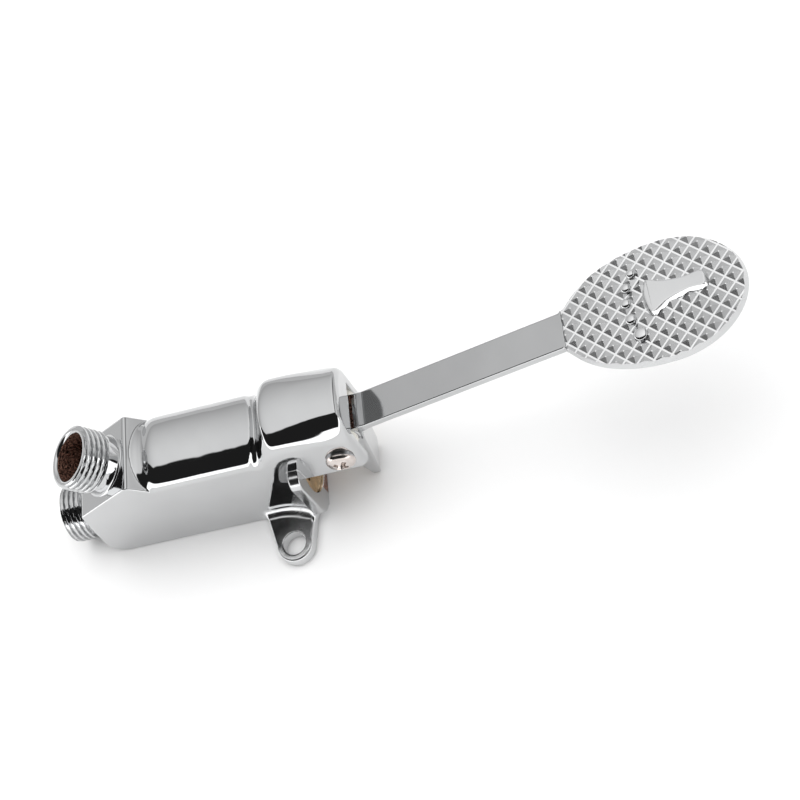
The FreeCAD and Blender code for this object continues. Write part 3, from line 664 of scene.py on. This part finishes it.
def fix_normals(made, sharp_deg=50):
    """Faces all look outward, and edges sharper than an angle stay crisp."""
    work = bmesh.new()
    work.from_mesh(made.data)
    bmesh.ops.recalc_face_normals(work, faces=work.faces)
    for edge in work.edges:
        edge.smooth = len(edge.link_faces) == 2 and edge.calc_face_angle(0.0) < math.radians(sharp_deg)
    work.to_mesh(made.data)
    work.free()


# ---------------------------------------------------------------- lever
def arm_top(x):
    """Height of the arm's sloping top face."""
    return ARM_START[1] + math.tan(ARM_SLOPE) * (x - ARM_START[0])


def lever_outline():
    """Leg, root and arm in side view, up to the bend."""
    drop = ARM_THICK / math.cos(ARM_SLOPE)
    near = ARM_START[0] + 1.5
    low = arm_top(near) - drop
    return [
        (27.0, 37.9), (32.7, 36.7), ARM_START, (BEND_X + 1.0, arm_top(BEND_X + 1.0)),
        (BEND_X + 1.0, arm_top(BEND_X + 1.0) - drop), (near, low), (35.4, low - 1.6), (34.4, low - 6.0),
        (31.7, 4.6), (31.1, 1.6), (28.6, 1.6), (27.4, 6.6), (26.5, 10.6), (26.5, 27.0), (21.9, 31.1),
    ]


LEVER_OUTLINE = lever_outline()


def pad_half(s):
    """Half-width of the neck and pad at a distance from the bend."""
    reach = np.where(s < PAD_CENTRE, PAD_BACK, PAD_FRONT)
    egg = PAD_HALF * np.sqrt(np.maximum(1 - ((s - PAD_CENTRE) / reach) ** 2, 0))
    fade = np.clip((PAD_CENTRE - s) / WAIST_LENGTH, 0, 1)
    waist = WAIST_HALF * fade
    return 0.5 * (waist + egg + np.sqrt((waist - egg) ** 2 + 14.0 * fade))


def lever_field(x, y, z):
    """Leg, hub, arm and the flared neck in front of the knurl."""
    s = (x - BEND_X) * math.cos(PAD_SLOPE) + (z - BEND_Z) * math.sin(PAD_SLOPE)
    rise = (z - BEND_Z) * math.cos(PAD_SLOPE) - (x - BEND_X) * math.sin(PAD_SLOPE)
    side = np.abs(y) - np.where(s < -20, ARM_HALF, pad_half(s))
    bar = round_and(polygon(x, z, LEVER_OUTLINE), side, 0.55)
    from_pivot = np.hypot(x - PIVOT[0], z - PIVOT[1])
    hub = round_and(from_pivot - HUB_R, side, 0.5)
    lever = round_or(bar, hub, 0.8)
    lever = np.maximum(lever, s - KNURL_START)
    tongue = np.maximum(np.maximum(rise + 1.6, -2.8 - rise), np.abs(y) - pad_half(s) + 1.0)
    tongue = np.maximum(tongue, np.maximum(KNURL_START - 1 - s, s - KNURL_START - 2.5))
    lever = np.minimum(lever, tongue)
    return cut(lever, from_pivot - HUB_HOLE_R) + 0.7 * ripple(x, y, z)


def make_lever_arm():
    """The plain part of the lever."""
    points, faces, normals = surface_net(lever_field, (19.6, -8.6, 0.6), (112.5, 8.6, 58.6), 0.36)
    made = mesh_object("lever_arm", points, faces, (lever_chrome,), normals)
    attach(made, "pedal")
    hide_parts("lever")


def pad_matrix():
    """From pad coordinates, along, across and up from the bend in millimetres, to the row frame."""
    place = Matrix.Translation((BEND_X * MM, 0, BEND_Z * MM))
    return place @ Matrix.Rotation(-PAD_SLOPE, 4, "Y") @ Matrix.Scale(MM, 4)


def pad_ring(rise, inset):
    """One level of the pad's edge: straight across at the knurl's start, then round the egg."""
    steps = 72
    ring = []
    for k in range(steps + 1):
        turn = k / steps
        s = KNURL_START + (PAD_CENTRE + PAD_FRONT - KNURL_START) * 0.5 * (1 - math.cos(math.pi * turn))
        ring.append((s, float(pad_half(np.array(s)))))
    ring = ring + [(s, -y) for s, y in reversed(ring[:-1])]
    moved = []
    for s, y in ring:
        reach = math.hypot(s - PAD_CENTRE, y)
        factor = (reach - inset) / reach
        along = s if s <= KNURL_START else PAD_CENTRE + (s - PAD_CENTRE) * factor
        moved.append((along, y * factor, rise))
    return moved


def closed_prism(name, rings):
    """Solid through a stack of rings with the same number of points."""
    count = len(rings[0])
    points = [p for ring in rings for p in ring]
    faces = [tuple(range(count))[::-1], tuple(range(len(points) - count, len(points)))]
    for r in range(len(rings) - 1):
        faces += band(count, r, r + 1)
    data = bpy.data.meshes.new(name)
    data.from_pydata(points, [], faces)
    made = new_object(name, data)
    fix_normals(made)
    return made


def knurled_slab(name):
    """Slab with a field of four-sided points between flat-bottomed grooves, laid at 45 degrees."""
    foot, tip = 0.43, 0.05
    work = bmesh.new()
    seen = {}

    def vertex(i, j, rise):
        key = (round(i, 4), round(j, 4), rise)
        if key not in seen:
            s = (i + j + KNURL_PHASE[0]) * KNURL_STEP + KNURL_ORIGIN
            y = (j - i + KNURL_PHASE[1]) * KNURL_STEP
            seen[key] = work.verts.new((s, y, rise))
        return seen[key]

    def square(i, j, reach, rise):
        corners = ((-1, -1), (1, -1), (1, 1), (-1, 1))
        return [vertex(i + 0.5 + a * reach, j + 0.5 + b * reach, rise) for a, b in corners]

    cells = range(KNURL_FIRST_ROW, KNURL_LAST_ROW)
    for i in cells:
        for j in cells:
            if abs(j - i) > KNURL_SIDE_ROWS or not KNURL_FIRST_ROW <= i + j <= KNURL_LAST_ROW:
                continue
            base = square(i, j, foot, -KNURL_DEPTH)
            top = square(i, j, tip, 0.0)
            groove = square(i, j, 0.5, -KNURL_DEPTH)
            work.faces.new(top)
            for k in range(4):
                n = (k + 1) % 4
                work.faces.new((base[k], base[n], top[n], top[k]))
                work.faces.new((groove[k], groove[n], base[n], base[k]))
    rim = [e for e in work.edges if e.is_boundary]
    low = {}
    for edge in rim:
        for v in edge.verts:
            if v not in low:
                low[v] = work.verts.new((v.co.x, v.co.y, -PAD_THICK - 2))
    for edge in rim:
        a, b = edge.verts
        work.faces.new((a, b, low[b], low[a]))
    bmesh.ops.contextual_create(work, geom=[e for e in work.edges if e.is_boundary])
    bmesh.ops.recalc_face_normals(work, faces=work.faces)
    data = bpy.data.meshes.new(name)
    work.to_mesh(data)
    work.free()
    return new_object(name, data)


def make_pad():
    """Egg-shaped pad: its knurled top is cut to the outline, its flat groove floors and point tips get a
    much brighter chrome as painted highlight, and its lower edge is rounded.
    """
    levels = (
        (-PAD_THICK, 0.9), (-PAD_THICK + 0.12, 0.5), (-PAD_THICK + 0.4, 0.15),
        (-PAD_THICK + 0.8, 0.0), (0.8, 1.1),
    )
    pad = closed_prism("foot_pad", [pad_ring(rise, inset) for rise, inset in levels])
    slab = knurled_slab("knurl_cutter")
    boolean = pad.modifiers.new("knurl", "BOOLEAN")
    boolean.operation = "INTERSECT"
    boolean.solver = "EXACT"
    boolean.object = slab
    bpy.context.view_layer.update()
    shaped = bpy.data.meshes.new_from_object(pad.evaluated_get(bpy.context.evaluated_depsgraph_get()))
    pad.modifiers.clear()
    pad.data = shaped
    bpy.data.objects.remove(slab)
    pad.data.transform(pad_matrix())
    pad.data.materials.clear()
    pad.data.materials.append(pad_chrome)
    pad.data.polygons.foreach_set("use_smooth", np.ones(len(pad.data.polygons), bool))
    fix_normals(pad, 12)
    # faces that look straight up, the flat groove floors and point tips, get the brighter chrome as a
    # painted highlight
    pad.data.materials.append(painted_highlight_chrome)
    upward = Vector((-math.sin(PAD_SLOPE), 0, math.cos(PAD_SLOPE)))
    for face in pad.data.polygons:
        face.material_index = int(face.normal.dot(upward) > 0.995)
    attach(pad, "pedal")


def smooth_ring(corners, steps=6):
    """Closed smooth curve through corners."""
    corners = np.array(corners, float)
    before, after = np.roll(corners, 1, 0), np.roll(corners, -1, 0)
    beyond = np.roll(corners, -2, 0)
    ring = []
    for k in range(len(corners)):
        for step in range(steps):
            u = step / steps
            point = 2 * corners[k] + (after[k] - before[k]) * u
            point = point + (2 * before[k] - 5 * corners[k] + 4 * after[k] - beyond[k]) * u * u
            point = point + (3 * corners[k] - before[k] - 3 * after[k] + beyond[k]) * u ** 3
            ring.append(0.5 * point)
    return np.array(ring)


def raised_shape(name, ring, levels, material, sharp_deg):
    """Raised shape on the pad: a closed outline set in by a given amount at each level."""
    forward = np.roll(ring, -1, 0) - np.roll(ring, 1, 0)
    outward = np.stack([forward[:, 1], -forward[:, 0]], 1)
    outward /= np.linalg.norm(outward, axis=1)[:, None]
    centre = ring.mean(0)
    if ((ring - centre) * outward).sum() < 0:
        outward = -outward
    rings = []
    for rise, inset in levels:
        level = ring - outward * inset
        rings.append([(s, y, rise) for s, y in level])
    made = closed_prism(name, rings)
    made.data.transform(pad_matrix())
    made.data.materials.append(material)
    made.data.polygons.foreach_set("use_smooth", np.ones(len(made.data.polygons), bool))
    fix_normals(made, sharp_deg)
    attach(made, "pedal")


def make_foot_sign():
    """Raised foot sign: a sole with sloping sides and five domed toes."""
    low = -KNURL_DEPTH

    # rise above the knurl's points, and how far the outline is set in there
    walls = ((low - 0.6, -0.15), (low + 0.1, -0.15), (0.66, 0.6), (0.8, 0.72), (0.85, 0.88), (0.86, 1.2))
    raised_shape("foot_sole", smooth_ring(FOOT_SOLE), walls, sign_chrome, 25)
    angle = 2 * np.pi * np.arange(28) / 28
    for number, (s, y, radius) in enumerate(FOOT_TOES, 1):
        ring = np.stack([s + radius * np.cos(angle), y + radius * np.sin(angle)], 1)
        dome = [(low - 0.6, 0.0), (low + 0.2, 0.02)]
        for k in range(1, 7):
            lean = math.radians(15 * k - 3)
            dome.append((0.1 + 0.8 * math.sin(lean), radius * (1 - math.cos(lean)) * 0.97))
        raised_shape(f"foot_toe_{number}", ring, dome, sign_chrome, 60)


# ---------------------------------------------------------------- screw
def screw_field(x, y, z):
    """Pan head with a tapered cross recess, on its shank."""
    px, pz = x - PIVOT[0], z - PIVOT[1]
    r = np.hypot(px, pz)
    h = -(y + HALF_WIDTH + SCREW_LIFT)
    dome = np.sqrt(r * r + (h - SCREW_HEAD_HEIGHT + SCREW_DOME_R) ** 2) - SCREW_DOME_R
    head = round_and(round_and(r - SCREW_HEAD_R, dome, 0.8), -h, 0.15)
    qx = np.abs(px * math.cos(RECESS_TURN) + pz * math.sin(RECESS_TURN))
    qz = np.abs(pz * math.cos(RECESS_TURN) - px * math.sin(RECESS_TURN))
    deep = np.clip(RECESS_MOUTH - h, 0, 3)
    half, reach, core = (wide - shrink * deep for wide, shrink in (BLADE_HALF, BLADE_REACH, RECESS_CORE))
    cross = np.maximum(np.minimum(qx, qz) - half, np.maximum(qx, qz) - reach)
    cross = np.minimum(cross, np.hypot(qx, qz) - core)
    cross = np.maximum(cross, RECESS_FLOOR - h)
    head = cut(head, cross, 0.18)
    along = np.maximum(y - SCREW_TIP_Y, -y - HALF_WIDTH - SHANK_LIFT)
    return np.minimum(head, np.maximum(r - SCREW_SHANK_R, along))


def make_screw():
    """Cross-recess pivot screw."""
    points, faces, normals = surface_net(screw_field, (21.8, -16.7, 26.9), (32.2, 13.4, 37.3), 0.15)
    made = mesh_object("pivot_screw_detail", points, faces, (screw_steel,), normals)
    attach(made, "valve_body")
    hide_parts("pivot_screw")


# ---------------------------------------------------------------- carried-over CAD pieces
NODE_MATERIALS = {
    "gland_plug": brass, "seat_insert": brass, "valve_disc": brass, "lever_sleeve": brass,
    "valve_stem": steel, "seal_washer": steel, "disc_nut": steel, "spring_washer": steel,
    "return_spring": spring_steel, "pocket_ring": spring_steel, "pivot_lock_washer": spring_steel,
    "pivot_screw": screw_steel, "seat_o_ring": rubber, "valve_seal": rubber, "stem_o_rings": rubber,
    "stem_wiper": rubber, "gland_bush": bearing_plastic, "thrust_washers": bearing_plastic,
    "gland_gasket": gasket_fibre, "body_casting": body_chrome, "lever": lever_chrome,
}


def paint_nodes():
    """Gives every CAD node its finish."""
    for name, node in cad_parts.items():
        node.data.materials.clear()
        node.data.materials.append(NODE_MATERIALS[name])


def make_spring():
    """Return spring between its seat in the body and the valve disc on the stem: a copy of the CAD spring,
    in place of it.
    """
    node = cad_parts["return_spring"]
    coil = new_object("return_spring_coil", node.data.copy())
    coil.matrix_world = node.matrix_world
    bpy.context.view_layer.update()
    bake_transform(coil)
    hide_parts("return_spring")


# ---------------------------------------------------------------- stage
def make_floor():
    """Large pale floor, just below the part."""
    material = new_material("floor", (0.9, 0.9, 0.9), 0.0, 0.7)
    tint(material, add_noise(material, 3, 2), (0.89, 0.89, 0.89), (0.91, 0.91, 0.91))
    half = 6.0
    corners = [(-half, -half, 0), (half, -half, 0), (half, half, 0), (-half, half, 0)]
    data = bpy.data.meshes.new("floor")
    data.from_pydata(corners, [], [(0, 1, 2, 3)])
    data.materials.append(material)
    floor = new_object("floor", data)
    floor.location.z = -0.0003


def make_sky():
    """Soft studio: light overhead and behind, and dark in front above a bright low band."""
    world = bpy.data.worlds.new("studio")
    bpy.context.scene.world = world
    world.use_nodes = True
    tree = world.node_tree
    place = tree.nodes.new("ShaderNodeTexCoord")
    axes = tree.nodes.new("ShaderNodeSeparateXYZ")
    tree.links.new(place.outputs["Generated"], axes.inputs["Vector"])

    def math_node(operation, a, b):
        node = tree.nodes.new("ShaderNodeMath")
        node.operation = operation
        for socket, value in zip(node.inputs, (a, b)):
            if isinstance(value, (int, float)):
                socket.default_value = value
            else:
                tree.links.new(value, socket)
        return node.outputs["Value"]

    def fade(source, start, end):
        node = tree.nodes.new("ShaderNodeMapRange")
        node.interpolation_type = "SMOOTHSTEP"
        node.inputs["From Min"].default_value = start
        node.inputs["From Max"].default_value = end
        tree.links.new(source, node.inputs["Value"])
        return node.outputs["Result"]

    x, y, z = axes.outputs

    # the lit half starts further back on the left, and grows brighter upward and to the right
    left = math_node("MAXIMUM", math_node("MULTIPLY", math_node("ADD", x, 0.5), -0.7), 0.0)
    behind = math_node("SUBTRACT", y, left)
    back = fade(behind, -0.15, -0.11)
    rising = math_node("ADD", 0.32, math_node("MULTIPLY", z, 0.85))
    sideways = math_node("ADD", 1.0, math_node("MULTIPLY", x, 0.25))
    lit = math_node("MULTIPLY", math_node("MULTIPLY", back, rising), sideways)

    # a dimmer patch high up on the right
    gap = math_node("MULTIPLY", fade(x, 0.3, 0.5), math_node("SUBTRACT", 1.0, fade(x, 0.66, 0.8)))
    gap = math_node("MULTIPLY", gap, fade(z, 0.3, 0.42))
    back_level = math_node("MULTIPLY", lit, math_node("SUBTRACT", 1.0, math_node("MULTIPLY", gap, 0.72)))

    # the low band all round, brightest in front
    low = math_node("SUBTRACT", 1.0, fade(z, 0.28, 0.33))
    low_level = math_node("MULTIPLY", low, math_node("SUBTRACT", 2.1, math_node("MULTIPLY", back, 1.4)))
    level = math_node("ADD", math_node("MAXIMUM", back_level, low_level), 0.02)
    background = tree.nodes["Background"]
    background.inputs["Color"].default_value = (1, 1, 1, 1)
    tree.links.new(level, background.inputs["Strength"])


def make_fill():
    """Overhead fill that doesn't show in reflections."""
    light = bpy.data.lights.new("fill", "AREA")
    light.shape = "SQUARE"
    light.size = 2.4
    light.energy = 31.0
    lamp = new_object("fill", light)
    lamp.location = (0.1, 0.1, 1.5)
    lamp.visible_glossy = False


def make_camera():
    """View from the front, a little to the right and high above the floor, slightly rolled."""
    data = bpy.data.cameras.new("camera")
    data.sensor_width = 36.0
    data.lens = 76.92
    data.clip_start, data.clip_end = 0.01, 50
    camera = new_object("camera", data)
    right = Vector((0.94873, -0.09655, -0.30097))
    up = Vector((0.22159, 0.88218, 0.41552))
    back = Vector((0.22540, -0.46091, 0.85834))
    turn = Matrix((right, up, back)).transposed().to_4x4()
    camera.matrix_world = Matrix.Translation((0.170105, -0.246792, 0.496146)) @ turn
    bpy.context.scene.camera = camera


make_camera()
make_sky()
make_fill()
make_floor()
paint_nodes()
make_casting()
make_pipe_end("outlet_thread", OUTLET_MOUTH, OUTLET_IN, 9.6, 14.0)
make_pipe_end("inlet_thread", INLET_MOUTH, INLET_IN, 8.6, 14.0)
make_lever_arm()
make_pad()
make_foot_sign()
make_screw()
make_spring()
bpy.context.scene.view_settings.view_transform = "Standard"

bpy.context.view_layer.update()
